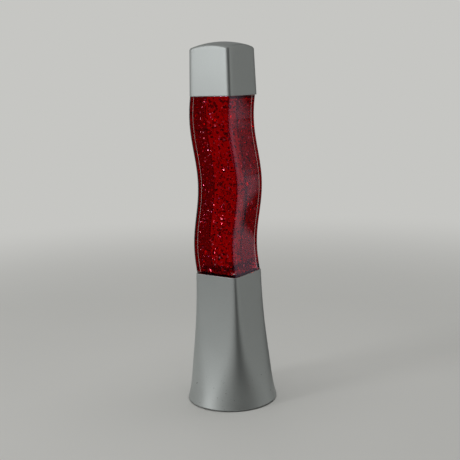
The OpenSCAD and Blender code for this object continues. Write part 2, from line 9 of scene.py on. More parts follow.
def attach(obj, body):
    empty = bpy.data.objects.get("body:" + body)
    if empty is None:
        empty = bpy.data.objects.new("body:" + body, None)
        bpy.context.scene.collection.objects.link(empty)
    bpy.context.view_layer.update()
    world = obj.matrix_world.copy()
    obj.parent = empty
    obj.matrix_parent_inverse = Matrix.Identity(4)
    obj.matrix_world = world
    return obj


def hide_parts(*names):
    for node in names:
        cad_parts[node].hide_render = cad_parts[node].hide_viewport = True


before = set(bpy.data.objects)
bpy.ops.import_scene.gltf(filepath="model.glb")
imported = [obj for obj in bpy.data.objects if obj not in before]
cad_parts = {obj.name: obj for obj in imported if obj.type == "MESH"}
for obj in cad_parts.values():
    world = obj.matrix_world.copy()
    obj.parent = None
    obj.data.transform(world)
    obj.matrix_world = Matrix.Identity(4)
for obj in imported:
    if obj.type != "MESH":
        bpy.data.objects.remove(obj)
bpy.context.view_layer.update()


# Base plate. A black moulded disc that closes the foot of the lamp from below. Vents are moulded
# through it, it carries the lampholder, and four screws pull it up against pillars in the shell.


class Lead:
    """A shader socket to reckon with: a sum on it adds Math nodes to its own material."""

    def __init__(self, socket):
        self.socket = socket

    def node(self, kind, settings, sockets, output=0):
        """Adds any other node to the same material, its settings first and then its sockets."""
        tree = self.socket.id_data
        made = tree.nodes.new("ShaderNode" + kind)
        for name, value in settings.items():
            if name == "stops":
                ramp = made.color_ramp.elements
                while len(ramp) < len(value):
                    ramp.new(1)
                for stop, (place, shade) in zip(ramp, value):
                    stop.position, stop.color = place, (shade, shade, shade, 1)
            else:
                setattr(made, name, value)
        for name, value in sockets.items():
            if isinstance(value, Lead):
                tree.links.new(value.socket, made.inputs[name])
            else:
                made.inputs[name].default_value = value
        return Lead(made.outputs[output]) if made.outputs else None

    def math(self, operation, first, second=0.0):
        return self.node("Math", {"operation": operation}, {0: first, 1: second})

    def __add__(self, other):
        return self.math("ADD", self, other)

    def __radd__(self, other):
        return self.math("ADD", other, self)

    def __sub__(self, other):
        return self.math("SUBTRACT", self, other)

    def __rsub__(self, other):
        return self.math("SUBTRACT", other, self)

    def __mul__(self, other):
        return self.math("MULTIPLY", self, other)

    def __rmul__(self, other):
        return self.math("MULTIPLY", other, self)

    def __truediv__(self, other):
        return self.math("DIVIDE", self, other)

    def cloud(self, scale, detail=2.0, stretch=None):
        """Soft noise over these places, drawn out along an axis where a stretch is given."""
        where = self
        if stretch:
            where = self.node("Mapping", {}, {"Vector": self, "Scale": stretch})
        return self.node("TexNoise", {}, {"Vector": where, "Scale": scale, "Detail": detail})

    def rise(self, low, high):
        """From 0 at low to 1 at high, with soft ends."""
        return self.node(
            "MapRange",
            {"interpolation_type": "SMOOTHSTEP"},
            {"Value": self, "From Min": low, "From Max": high},
        )

    def tint(self, first, second):
        """From the first colour where this is 0 to the second where it is 1."""
        return self.node(
            "Mix",
            {"data_type": "RGBA"},
            {0: self, 6: first if isinstance(first, Lead) else (*first, 1), 7: (*second, 1)},
            2,
        )

    def dents(self, strength, depth):
        """The slope of a surface that this height stands proud of."""
        return self.node("Bump", {}, {"Strength": strength, "Distance": depth, "Height": self})


def new_finish(name):
    """An empty finish, and a lead on the places of its points."""
    made = bpy.data.materials.new(name)
    made.use_nodes = True
    made.node_tree.nodes.clear()
    return made, Lead(made.node_tree.nodes.new("ShaderNodeTexCoord").outputs["Object"])


def coat(place, looks, volume=None):
    """Gives a finish its surface, and its depth if light goes through it."""
    ends = {"Surface": place.node("BsdfPrincipled", {}, looks)}
    if volume:
        ends["Volume"] = place.node("VolumeAbsorption", {}, volume)
    place.node("OutputMaterial", {}, ends)


def dress(finish, *names):
    """Lays a finish on the CAD nodes of these names."""
    for name in names:
        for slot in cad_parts[name].material_slots:
            slot.material = finish


black_moulding, place = new_finish("black_moulding")
flow = place.cloud(45, 4)
coat(
    place,
    {
        "Base Color": flow.tint((0.010, 0.010, 0.011), (0.026, 0.026, 0.028)),
        "Roughness": 0.34 + 0.22 * flow,
        "Normal": place.cloud(1600, 3).dents(0.25, 0.0002),
    },
)
dress(black_moulding, "base_plate")


# Rubber feet. Four turned buttons of black rubber stand under the plate, stuck on with their wide
# ends up. Their sides are dulled by talc and dust.
black_rubber, place = new_finish("black_rubber")
talc = place.cloud(130, 6).rise(0.45, 0.8)
coat(
    place,
    {
        "Base Color": talc.tint((0.012, 0.012, 0.012), (0.055, 0.053, 0.050)),
        "Roughness": 0.62 + 0.25 * talc,
        "Normal": place.cloud(900, 4).dents(0.3, 0.0002),
    },
)
dress(black_rubber, "rubber_feet")


# Holder bracket. A zinc-plated steel strip is bent to a bridge and bolted through the plate, and a
# threaded nipple with a nut stands the lampholder on it. The plating has a faint bluish bloom.
zinc_plate, place = new_finish("zinc_plate")
bloom = place.cloud(70, 5)
rolled = place.cloud(400, 3, (1, 0.04, 1))
coat(
    place,
    {
        "Base Color": bloom.tint((0.52, 0.55, 0.60), (0.70, 0.69, 0.64)),
        "Metallic": 1.0,
        "Roughness": 0.24 + 0.2 * bloom + 0.1 * rolled,
        "Normal": rolled.dents(0.12, 0.0002),
    },
)
dress(zinc_plate, "holder_bracket", "bracket_screws", "bracket_nuts", "threaded_nipple")
dress(zinc_plate, "nipple_nut", "plate_screws")


# Lampholder. A black dome and barrel screw together round a pale fired core. The core carries the
# brass screw shell, the sprung centre contact and the two terminal screws.
fired_core, place = new_finish("fired_core")
body_tone = place.cloud(90, 5)
grog = place.node("TexVoronoi", {}, {"Vector": place, "Scale": 700}).rise(0.08, 0.2)
coat(
    place,
    {
        "Base Color": grog.tint((0.42, 0.37, 0.30), (0.78, 0.74, 0.66)),
        "Roughness": 0.45 + 0.25 * body_tone,
        "Normal": place.cloud(1100, 3).dents(0.3, 0.0002),
    },
)
brass, place = new_finish("brass")
tarnish = place.cloud(160, 6).rise(0.4, 0.75)
coat(
    place,
    {
        "Base Color": tarnish.tint((0.80, 0.60, 0.27), (0.42, 0.28, 0.12)),
        "Metallic": 1.0,
        "Roughness": 0.22 + 0.25 * tarnish,
        "Normal": place.cloud(1300, 2).dents(0.1, 0.0001),
    },
)
dress(black_moulding, "holder_dome", "holder_skirt")
dress(fired_core, "holder_insert")
dress(brass, "screw_shell", "centre_contact", "terminal_screws")


# Heat shield. A cup of bright aluminium sheet, spun to shape and pierced round its floor, keeps the
# bulb's heat off the shell. A ribbed black ring clamps it on the barrel.
spun_sheet, place = new_finish("spun_sheet")
heat = place.cloud(35, 4)
rings = place.cloud(60, 4, (0.2, 0.2, 60))
coat(
    place,
    {
        "Base Color": heat.tint((0.86, 0.86, 0.87), (0.70, 0.66, 0.60)),
        "Metallic": 1.0,
        "Roughness": 0.18 + 0.22 * rings,
        "Normal": rings.dents(0.15, 0.0002),
    },
)
dress(spun_sheet, "heat_shield")
dress(black_moulding, "shade_ring")


# Bulb. A clear reflector-sized glass bulb with a small nickelled screw cap, a black glass insulator
# and a soldered contact. Its filament hangs on two wires from a drawn glass stem.
solder, place = new_finish("solder")
lumps = place.cloud(700, 4)
coat(
    place,
    {
        "Base Color": lumps.tint((0.42, 0.42, 0.41), (0.68, 0.68, 0.66)),
        "Metallic": 1.0,
        "Roughness": 0.3 + 0.3 * lumps,
        "Normal": lumps.dents(0.5, 0.0003),
    },
)
black_glass, place = new_finish("black_glass")
seeds = place.cloud(500, 5)
coat(
    place,
    {
        "Base Color": seeds.tint((0.008, 0.006, 0.010), (0.035, 0.028, 0.040)),
        "Roughness": 0.06 + 0.2 * seeds,
        "Normal": place.cloud(240, 2).dents(0.15, 0.0003),
    },
)
nickel, place = new_finish("nickel")
handled = place.cloud(220, 5).rise(0.4, 0.8)
coat(
    place,
    {
        "Base Color": handled.tint((0.72, 0.69, 0.63), (0.50, 0.46, 0.40)),
        "Metallic": 1.0,
        "Roughness": 0.16 + 0.22 * handled,
        "Normal": place.cloud(1500, 2).dents(0.08, 0.0001),
    },
)
blown_glass, place = new_finish("blown_glass")
wisps = place.cloud(60, 4).rise(0.5, 0.8)
coat(
    place,
    {
        "Base Color": wisps.tint((0.98, 0.99, 0.99), (0.90, 0.91, 0.90)),
        "Transmission Weight": 1.0,
        "IOR": 1.48,
        "Roughness": 0.01 + 0.05 * wisps,
        "Normal": place.cloud(120, 2).dents(0.05, 0.0002),
    },
)
drawn_wire, place = new_finish("drawn_wire")
oxide = place.cloud(900, 4)
coat(
    place,
    {
        "Base Color": oxide.tint((0.16, 0.16, 0.17), (0.42, 0.42, 0.43)),
        "Metallic": 1.0,
        "Roughness": 0.3 + 0.25 * oxide,
        "Normal": place.cloud(2500, 2).dents(0.15, 0.0001),
    },
)
dress(solder, "bulb_contact")
dress(black_glass, "bulb_insulator")
dress(nickel, "bulb_cap")
dress(blown_glass, "bulb_glass", "bulb_stem")
dress(drawn_wire, "support_wires", "filament")


# Base shell. One thin moulding, square at its rim and round at its flared foot, sprayed with silver
# paint. A lip inside the rim carries the bottle, and four pillars inside take the plate's screws.
rim_half = 27.3
rim_square = 15
lip_width = 4.0
mouth_half = rim_half - lip_width
lip_thick = 3.0
lip_round = 0.4
rim_round = 0.4
foot_round = 0.9
shell_wall = 2.2
shell_low = 1.2
shell_high = 147.5
foot_half = 51.0
side_taper = 4.6
flare_power = 2.6
squaring_power = 1.8
side_points = 36
corner_crowding = 2.2
foot_crowding = 1.3
outer_rows = 64
inner_rows = 40
edge_row = 0.15
weld = 1e-6
smooth_up_to = math.radians(38)


def on_section(point, half, square, height, shift=0.0):
    """Where a point lies on a level section between a circle, which is 2, and a square."""
    quarter, step = divmod(point, side_points)
    along = 2 * step / side_points - 1
    arc = math.sin(abs(along) * math.pi / 4) / math.sin(math.pi / 4)
    flat = 1 - (1 - abs(along)) ** corner_crowding
    across = 2 ** (-1 / square) * math.copysign(arc * 2 / square + flat * (1 - 2 / square), along)
    out = (1 - abs(across) ** square) ** (1 / square)
    turn = quarter * math.pi / 2
    return Vector(
        (
            shift + half * (out * math.cos(turn) - across * math.sin(turn)),
            half * (out * math.sin(turn) + across * math.cos(turn)),
            height,
        )
    )


def draw_through(sections, shape=on_section, second_from=None):
    """Draws a ring of edges through these sections, and returns the mesh and its two open ends.

    Faces from the section numbered second_from on take the piece's second finish.
    """
    drawn = bmesh.new()
    number = drawn.verts.layers.int.new("number")
    ring = bmesh.ops.create_circle(drawn, segments=4 * side_points, radius=1)["verts"]
    for count, vert in enumerate(ring):
        vert[number] = count
        vert.co = shape(count, *sections[0]) / 1000
    first = last = drawn.edges[:]
    for count, section in enumerate(sections[1:], 1):
        last = pull_out(drawn, last, second_from is not None and count >= second_from)
        for vert in {vert for edge in last for vert in edge.verts}:
            vert.co = shape(vert[number], *section) / 1000
    return drawn, first, last


def pull_out(drawn, ring, second=False):
    """Extrudes a ring of edges where it is, and returns the new ring."""
    pulled = bmesh.ops.extrude_edge_only(drawn, edges=ring)["geom"]
    for part in pulled:
        if isinstance(part, bmesh.types.BMFace):
            part.material_index = int(second)
    return [part for part in pulled if isinstance(part, bmesh.types.BMEdge) and part.is_boundary]


def close_end(drawn, ring, height, second=False):
    """Draws an open end in to one point on the axis."""
    tips = {vert for edge in pull_out(drawn, ring, second) for vert in edge.verts}
    bmesh.ops.pointmerge(drawn, verts=list(tips), merge_co=(0, 0, height / 1000))


def set_out(name, data):
    """Adds an object with this mesh, light or camera to the scene."""
    made = bpy.data.objects.new(name, data)
    bpy.context.scene.collection.objects.link(made)
    return made


def put_in_place(drawn, name, finishes, body, node):
    """Makes a drawn mesh a smooth piece that rides on its body and stands for its CAD node."""
    bmesh.ops.remove_doubles(drawn, verts=drawn.verts, dist=weld)
    bmesh.ops.recalc_face_normals(drawn, faces=drawn.faces)
    skin = bpy.data.meshes.new(name)
    drawn.to_mesh(skin)
    drawn.free()
    skin.shade_smooth()
    skin.set_sharp_from_angle(angle=smooth_up_to)
    for finish in finishes:
        skin.materials.append(finish)
    piece = set_out(name, skin)
    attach(piece, body)
    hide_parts(node)


def shell_half(height):
    """Half the shell's width at a height, slowly wider from the rim down and then flared."""
    fall = 1 - (height - shell_low) / (shell_high - shell_low)
    flare = (foot_half - rim_half - side_taper) * fall**flare_power
    return rim_half + side_taper * fall + flare


def shell_square(height):
    """How square the shell is at a height, from a round foot to a square rim."""
    climb = (height - shell_low) / (shell_high - shell_low)
    return 2 + (rim_square - 2) * max(climb, 0) ** squaring_power


def quarter_turn(steps):
    """Sine and cosine pairs from 0 to 90 degrees, for rounding an edge."""
    return [
        (math.sin(math.pi / 2 * k / steps), math.cos(math.pi / 2 * k / steps))
        for k in range(steps + 1)
    ]


# The shell is drawn up the outside from the foot, over the rim and its lip, and down the inside.
outside = []
for s, c in quarter_turn(4):
    z = shell_low + foot_round * (1 - c)
    outside.append((shell_half(z) - foot_round * (1 - s), 2, z))
span = shell_high - rim_round - shell_low - foot_round
for k in range(1, outer_rows):
    z = shell_low + foot_round + span * (k / outer_rows) ** foot_crowding
    outside.append((shell_half(z), shell_square(z), z))
z = shell_high - rim_round - edge_row
outside.append((shell_half(z), shell_square(z), z))
for s, c in quarter_turn(5):
    z = shell_high - rim_round * (1 - s)
    outside.append((shell_half(z) - rim_round * (1 - c), shell_square(z), z))
lip = [
    (mouth_half + lip_round * (1 - s), rim_square, shell_high - lip_round * (1 - c))
    for s, c in quarter_turn(3)
]
lip.append((mouth_half, rim_square, shell_high - lip_thick))
inside = []
for k in range(inner_rows, -1, -1):
    z = shell_low + (shell_high - lip_thick - shell_low) * (k / inner_rows) ** foot_crowding
    inside.append((shell_half(z) - shell_wall, shell_square(z), z))
shell = draw_through([*outside, *lip, *inside, outside[0]])[0]
bmesh.ops.remove_doubles(shell, verts=shell.verts, dist=weld)
bmesh.ops.recalc_face_normals(shell, faces=shell.faces)

# The cord's inlet is drilled through the rear wall, square to its slope.
inlet_high = 18.0
inlet_round = 5.4
wall_slope = shell_half(inlet_high + 0.5) - shell_half(inlet_high - 0.5)
square_out = Vector((0, 1, -wall_slope)).to_track_quat("Z", "Y").to_matrix().to_4x4()
drill = bmesh.new()
bmesh.ops.create_cone(
    drill,
    cap_ends=True,
    segments=48,
    radius1=inlet_round / 1000,
    radius2=inlet_round / 1000,
    depth=6 * shell_wall / 1000,
    matrix=Matrix.Translation((0, shell_half(inlet_high) / 1000, inlet_high / 1000)) @ square_out,
)
blanks = []
for drawn, name in ((shell, "undrilled_shell"), (drill, "drill")):
    blank = set_out(name, bpy.data.meshes.new(name))
    drawn.to_mesh(blank.data)
    blanks.append(blank)
drilled = blanks[0].modifiers.new("inlet", "BOOLEAN")
drilled.operation, drilled.object = "DIFFERENCE", blanks[1]
shell.clear()
shell.from_object(blanks[0], bpy.context.evaluated_depsgraph_get())
for blank in blanks:
    bpy.data.meshes.remove(blank.data)

# Four pillars with blind screw holes stand in the corners, their tops sunk into the wall.
pillar_round = 4.0
pillar_sunk = 1.5
pillar_low, pillar_high = 6.5, 50.5
screw_round, screw_deep = 1.5, 14.0
pillar, screw_end, pillar_end = draw_through(
    [
        (screw_round, 2, pillar_low + screw_deep),
        (screw_round, 2, pillar_low),
        (pillar_round, 2, pillar_low),
        (pillar_round, 2, pillar_high),
    ]
)
close_end(pillar, screw_end, pillar_low + screw_deep)
close_end(pillar, pillar_end, pillar_high)
wall_half = shell_half(pillar_high) - shell_wall
corner_out = wall_half * math.sqrt(2) * 2 ** (-1 / shell_square(pillar_high))
pillar_out = corner_out - pillar_round + pillar_sunk
bmesh.ops.translate(pillar, verts=pillar.verts, vec=(pillar_out / 1000, 0, 0))
for turn in (45, 90, 90, 90):
    bmesh.ops.rotate(pillar, verts=pillar.verts, matrix=Matrix.Rotation(math.radians(turn), 3, "Z"))
    standing = bpy.data.meshes.new("pillar")
    pillar.to_mesh(standing)
    shell.from_mesh(standing)
    bpy.data.meshes.remove(standing)

silver_paint, place = new_finish("silver_paint")
height = place.node("SeparateXYZ", {}, {"Vector": place}, "Z")
sprayed = place.cloud(18, 3)
flakes = place.node(
    "SeparateColor",
    {},
    {"Color": place.node("TexVoronoi", {}, {"Vector": place, "Scale": 2200}, "Color")},
)
low_down = 1 - height.rise(0.012, 0.07)
chips = place.cloud(430, 1).rise(0.755, 0.77) * low_down
rubbed = place.cloud(60, 5, (1, 1, 0.15)).rise(0.52, 0.78) * low_down
coat(
    place,
    {
        "Base Color": chips.tint(
            (0.55 * sprayed + 0.45 * flakes).tint((0.413, 0.437, 0.434), (0.502, 0.530, 0.526)),
            (0.03, 0.03, 0.03),
        ),
        "Metallic": 0.85 - 0.7 * chips,
        "Roughness": 0.42 + 0.06 * sprayed + 0.05 * flakes + 0.08 * rubbed,
        "Normal": (place.cloud(260, 2) + 0.3 * flakes).dents(0.06, 0.0003),
    },
)
put_in_place(shell, "painted_base", [silver_paint], "base", "base_shell")


# Cord grommet. A black rubber bush sits in the rear wall near the foot. Its two flanges grip the
# shell from both sides.
dress(black_rubber, "cord_grommet")


# Bottle. A square bottle of clear glass whose sides sway from left to right on the way up. Its foot
# drops into the base and its head into the cap, and a round neck with a bead takes the crown cap.
spigot_play = 0.6
spigot_deep = 18
spigot_half = mouth_half - spigot_play
body_inset = 1.0
body_half = rim_half - body_inset
body_square = 20
inner_square = 9
body_round = 0.3
body_rows = 110
bottle_wall = 3.0
ledge_wall = 0.7
hollow_half = spigot_half - bottle_wall
bottle_low = shell_high - spigot_deep
cap_low = 342.7
ledge_gap = 0.05
low_ledge, high_ledge = shell_high + ledge_gap, cap_low - ledge_gap
head_deep = 10
shoulder_rise = 6
shoulder_rows = 8
neck_rise = 16
head_high = cap_low + head_deep
neck_low = head_high + shoulder_rise
mouth_high = neck_low + neck_rise
neck_half = 11.5
bore_half = 8.5
bore_round = 0.5
bead_half = 13.2
bead_deep = 5
glass_round = 1
sway_middle = 1.2
sway_reach = 4.2
sway_crest = 100
sway_wave = 142


def sway(height):
    """How far to the side the body's middle lies at a height."""
    above_crest = height - shell_high - sway_crest
    return sway_middle + sway_reach * math.cos(2 * math.pi * above_crest / sway_wave)


def body_sections(inset, ledge, square):
    """Sections of the swaying body from its lower to its upper ledge, drawn in by its walls."""
    low, high, half = low_ledge + ledge, high_ledge - ledge, body_half - inset
    heights = [(low + body_round * (1 - c), body_round * (1 - s)) for s, c in quarter_turn(4)]
    span = high - low - 2 * body_round
    heights += [(low + body_round + edge_row, 0)]
    heights += [(low + body_round + span * k / body_rows, 0) for k in range(1, body_rows)]
    heights += [(high - body_round - edge_row, 0)]
    heights += [(high - body_round * (1 - s), body_round * (1 - c)) for s, c in quarter_turn(4)]
    return [(half - drawn_in, square, z, sway(z)) for z, drawn_in in heights]


def shoulder(part, head, neck):
    """Width, squareness and climb of the shoulder, from the square head at 0 to the neck at 1."""
    square = 2 + (rim_square - 2) * (1 - part) ** 3
    return head + (neck - head) * part, square, part * part * (3 - 2 * part)


# The bottle is drawn up the outside from its foot to its mouth, and down the inside to its floor.
outside = [
    (
        spigot_half - glass_round + glass_round * s,
        rim_square,
        bottle_low + glass_round - glass_round * c,
    )
    for s, c in quarter_turn(4)
]
outside += [(spigot_half, rim_square, low_ledge), *body_sections(0, 0, body_square)]
shoulder_low = head_high - glass_round
outside += [(spigot_half, rim_square, high_ledge), (spigot_half, rim_square, shoulder_low)]
for k in range(shoulder_rows + 1):
    half, square, climb = shoulder(k / shoulder_rows, spigot_half, neck_half)
    outside.append((half, square, shoulder_low + (shoulder_rise + glass_round) * climb))
bead_low = mouth_high - bead_deep
outside += [(neck_half, 2, bead_low)]
outside += [
    (neck_half + (bead_half - neck_half) * s, 2, bead_low + glass_round - glass_round * c)
    for s, c in quarter_turn(3)
]
outside += [
    (bead_half - glass_round + glass_round * c, 2, mouth_high - glass_round + glass_round * s)
    for s, c in quarter_turn(4)
]
inside = [
    (bore_half + bore_round * (1 - s), 2, mouth_high - bore_round * (1 - c))
    for s, c in quarter_turn(3)
]
inside += [(bore_half, 2, neck_low - bottle_wall)]
for k in range(shoulder_rows - 1, -1, -1):
    half, square, climb = shoulder(k / shoulder_rows, hollow_half, bore_half)
    inside.append((half, square, neck_low - bottle_wall - shoulder_rise * (1 - climb)))
dry_count = len(outside) + len(inside)
inside += [(hollow_half, rim_square, high_ledge - ledge_wall)]
inside += body_sections(bottle_wall, ledge_wall, inner_square)[::-1]
inside += [(hollow_half, rim_square, low_ledge + ledge_wall)]
inside += [(hollow_half, rim_square, bottle_low + bottle_wall)]
bottle, foot_ring, floor_ring = draw_through([*outside, *inside], second_from=dry_count)
close_end(bottle, foot_ring, bottle_low)
close_end(bottle, floor_ring, bottle_low + bottle_wall, True)

glass_index = 1.5
liquid_index = 1.41


def bottle_glass(name, index, smudged):
    """Clear glass with faint draw lines, seen against air or against what wets it."""
    made, place = new_finish(name)
    touched = place.cloud(22, 5).rise(0.5, 0.85)
    coat(
        place,
        {
            "Base Color": touched.tint((0.99, 0.995, 0.99), (0.97, 0.975, 0.97)),
            "Transmission Weight": 1.0,
            "IOR": index,
            # Painted light: the pink specular tint colours the glass's reflections as if pink-lit
            # surroundings were mirrored in them.
            "Specular Tint": (1.0, 0.5, 1.0, 1),
            "Roughness": smudged * touched,
            "Normal": place.cloud(90, 2, (1, 1, 0.02)).dents(0.02, 0.0004),
        },
    )
    return made


clear_glass = bottle_glass("clear_glass", glass_index, 0.008)
wetted_glass = bottle_glass("wetted_glass", glass_index / liquid_index, 0.0)
glasses = [clear_glass, wetted_glass]
put_in_place(bottle, "swaying_bottle", glasses, "bottle", "bottle")


# Liquid. A clear red liquid fills the bottle to just under its shoulder and wets the whole of its
# inside. The wetted glass bends the light between the two, so the liquid's own skin bends none.
wetting_gap = 0.02
fill_short = 1
column_half = hollow_half - wetting_gap
column_low = bottle_low + bottle_wall + wetting_gap
column_high = head_high - bottle_wall - fill_short
column = [(column_half, rim_square, column_low)]
column += [(column_half, rim_square, low_ledge + ledge_wall + wetting_gap)]
column += body_sections(bottle_wall + wetting_gap, ledge_wall + wetting_gap, inner_square)
column += [(column_half, rim_square, high_ledge - ledge_wall - wetting_gap)]
column += [(column_half, rim_square, column_high)]
liquid, low_end, high_end = draw_through(column)
close_end(liquid, low_end, column_low)
close_end(liquid, high_end, column_high)

red_water, place = new_finish("red_water")
swirl = place.cloud(16, 4, (1, 1, 0.4))
coat(
    place,
    {
        "Base Color": swirl.tint((1.0, 0.86, 0.86), (1.0, 1.0, 1.0)),
        "Transmission Weight": 1.0,
        "IOR": 1.0,
        "Roughness": 0.0,
    },
    {"Color": (0.992, 0.0, 0.2, 1), "Density": 2500.0},
)
put_in_place(liquid, "red_filling", [red_water], "bottle", "red_liquid")


# Glitter. Six-sided chips punched from metallised film drift in the liquid, thicker in some clouds
# than in others. Some hang close to the walls, and many lie low in the body, heaped in its corners.
drifting_count, drifting_size = 900, (1.6, 4.0)
wall_count, wall_size = 640, (0.8, 2.0)
settled_count, settled_size = 2000, (0.9, 1.6)
chip_sides = 6
chip_thick = 0.1
chip = bmesh.new()
bmesh.ops.create_circle(chip, cap_ends=True, segments=chip_sides, radius=0.5)
raised = bmesh.ops.extrude_face_region(chip, geom=chip.faces[:])["geom"]
raised = [part for part in raised if isinstance(part, bmesh.types.BMVert)]
bmesh.ops.translate(chip, verts=raised, vec=(0, 0, chip_thick))
bmesh.ops.recalc_face_normals(chip, faces=chip.faces)
punched = bpy.data.meshes.new("punched_chip")
chip.to_mesh(punched)
chip.free()

chance = random.Random(11)
glitter = bmesh.new()


def drop_chip(where, tilt, turn, size):
    """Adds one punched chip to the glitter."""
    spin = Euler((tilt, 0, turn)).to_matrix().to_4x4()
    fresh = punched.copy()
    fresh.transform(Matrix.Translation(where / 1000) @ spin @ Matrix.Scale(size / 1000, 4))
    glitter.from_mesh(fresh)
    bpy.data.meshes.remove(fresh)


glass_room, ledge_room, end_room, corner_room = 0.15, 0.3, 2, 4
room_half = body_half - bottle_wall - glass_room
low_room = shell_high + ledge_wall + ledge_room
high_room = cap_low - ledge_wall - ledge_room
cloud_size, cloud_level, cloud_swing = 12, 0.55, 1.1


def anywhere(size):
    """A place in the body's plan with room for a chip of this size."""
    room = room_half - size / 2
    return Vector((chance.uniform(-room, room), chance.uniform(-room, room), 0))


def drop_tumbled(spot, size):
    """Lets a chip follow the sway of the body, turned any way."""
    spot.x += sway(spot.z)
    drop_chip(spot, math.acos(chance.uniform(-1, 1)), chance.uniform(0, 2 * math.pi), size)


dropped = 0
while dropped < drifting_count:
    size = chance.uniform(*drifting_size)
    spot = anywhere(size)
    spot.z = chance.uniform(low_room + size / 2, high_room - size / 2)
    cornered = min(abs(spot.x), abs(spot.y)) > room_half - corner_room
    thick_here = cloud_level + cloud_swing * noise.noise(spot / cloud_size)
    if not cornered and thick_here > chance.random():
        drop_tumbled(spot, size)
        dropped += 1

# Along the walls the chips go to the four sides in turn and lie almost flat on the glass. On one
# side a few are large and flatter, and a few are heaped low at its rear. Some face the front.
wall_lean, wall_swing, wall_gap = (-0.16, 0.12), (0.06, 0.15), (0.0, 0.16)
heap_wide, heap_high = 9, 7
for k in range(wall_count):
    large, heaped = k % 16 == 1, k % 16 == 5
    faces_front = k % 8 > 4 and not heaped
    size = chance.uniform(*wall_size)
    side = k % 4 * math.pi / 2
    lean, swing = chance.gauss(*wall_lean), chance.gauss(*wall_swing)
    across = chance.uniform(corner_room - room_half, room_half - corner_room)
    high = chance.uniform(low_room + end_room, high_room - end_room)
    if large:
        size, lean, swing = 1.0 + 0.9 * size, 0.1 * lean, 0.15 * swing - 0.15
    if heaped:
        size, swing = 0.6 + 0.4 * size, 0.7 * swing - 0.3
        across = room_half - end_room - heap_wide * chance.random() ** 2
        high = low_room + size + heap_high * chance.random() ** 2
    wall = room_half * (1 - abs(across / room_half) ** inner_square) ** (1 / inner_square)
    sunk = size * (chip_thick + abs(lean) / 2 + abs(swing) / 2)
    depth = wall - sunk - chance.uniform(*wall_gap)
    if faces_front:
        size *= 0.6
        swing -= side
        depth = wall - size / 2
    lean += (sway(high + 1) - sway(high - 1)) / 2 * math.sin(side)
    spot = Matrix.Rotation(side, 3, "Z") @ Vector((across, -depth, high))
    spot.x += sway(high)
    drop_chip(spot, math.pi / 2 + lean, side + swing, size)

bed_deep, bed_heap, heap_from = 2.0, 3.0, 0.6
for _ in range(settled_count):
    size = chance.uniform(*settled_size)
    spot = anywhere(size)
    outward = min(abs(spot.x), abs(spot.y)) / room_half
    deep = bed_deep + bed_heap * max(outward - heap_from, 0) / (1 - heap_from)
    spot.z = low_room + size / 2 + deep * chance.random()
    drop_tumbled(spot, size)

glitter_film, place = new_finish("glitter_film")
lot = place.node(
    "SeparateColor",
    {},
    {"Color": place.node("TexVoronoi", {}, {"Vector": place, "Scale": 420}, "Color")},
)
coat(
    place,
    {
        "Base Color": lot.rise(0.7, 0.8).tint(
            lot.rise(0.0, 0.6).tint((0.95, 0.55, 0.70), (0.95, 0.88, 0.92)), (0.60, 0.40, 0.92)
        ),
        "Metallic": 0.5,
        "Roughness": 0.1 + 0.16 * lot,
        "Normal": place.cloud(3000, 1).dents(0.1, 0.0001),
    },
)
put_in_place(glitter, "glitter_chips", [glitter_film], "bottle", "glitter")


# Crown cap. A fluted tinplate cap is crimped over the bead of the neck on a soft pale liner, which
# seals the bottle under the top cap.
tinplate, place = new_finish("tinplate")
crimped = place.cloud(150, 5)
grain = place.cloud(500, 2, (1, 0.05, 1))
coat(
    place,
    {
        "Base Color": crimped.tint((0.62, 0.63, 0.65), (0.80, 0.80, 0.80)),
        "Metallic": 1.0,
        "Roughness": 0.2 + 0.14 * crimped + 0.1 * grain,
        "Normal": grain.dents(0.08, 0.0001),
    },
)
soft_liner, place = new_finish("soft_liner")
bloomed = place.cloud(200, 4)
coat(
    place,
    {
        "Base Color": bloomed.tint((0.62, 0.62, 0.58), (0.82, 0.82, 0.78)),
        "Roughness": 0.45 + 0.25 * bloomed,
        "Normal": place.cloud(900, 2).dents(0.2, 0.0001),
    },
)
dress(tinplate, "crown_cap")
dress(soft_liner, "crown_liner")


# Top cap. A square cap with a domed top, moulded like the base and sprayed with the same paint. It
# drops over the bottle's head and rests on the bottle with the lip inside its rim.
lamp_high = 400.0
cap_taper = 1.2
top_half = rim_half - cap_taper
dome_radius = 94.0
edge_round = 1.8
rim_edge = 0.5
cap_wall = 2.0
crown_part = 0.03
dome_rows = 15
side_rows = 11
side_margin = 0.6


def on_dome(point, half, square, radius, drop):
    """Where a point of a section lies under the dome, lowered by a drop."""
    spot = on_section(point, half, square, 0)
    spot.z = lamp_high - dome_radius + math.sqrt(radius**2 - spot.x**2 - spot.y**2) - drop
    return spot


def on_cap(point, half, square, height, radius, drop):
    """A point of the cap's sides, or of its dome where a radius is given."""
    if radius:
        return on_dome(point, half, square, radius, drop)
    return on_section(point, half, square, height)


def dome_sections(half, radius):
    """Sections from near the middle of a dome out to its edge."""
    reach = 1 - crown_part
    spread = [crown_part + reach * k / dome_rows for k in range(dome_rows + 1)]
    squares = [2 + (rim_square - 2) * (part - crown_part) / reach for part in spread]
    return [(half * part, square, 0, radius, 0) for part, square in zip(spread, squares)]


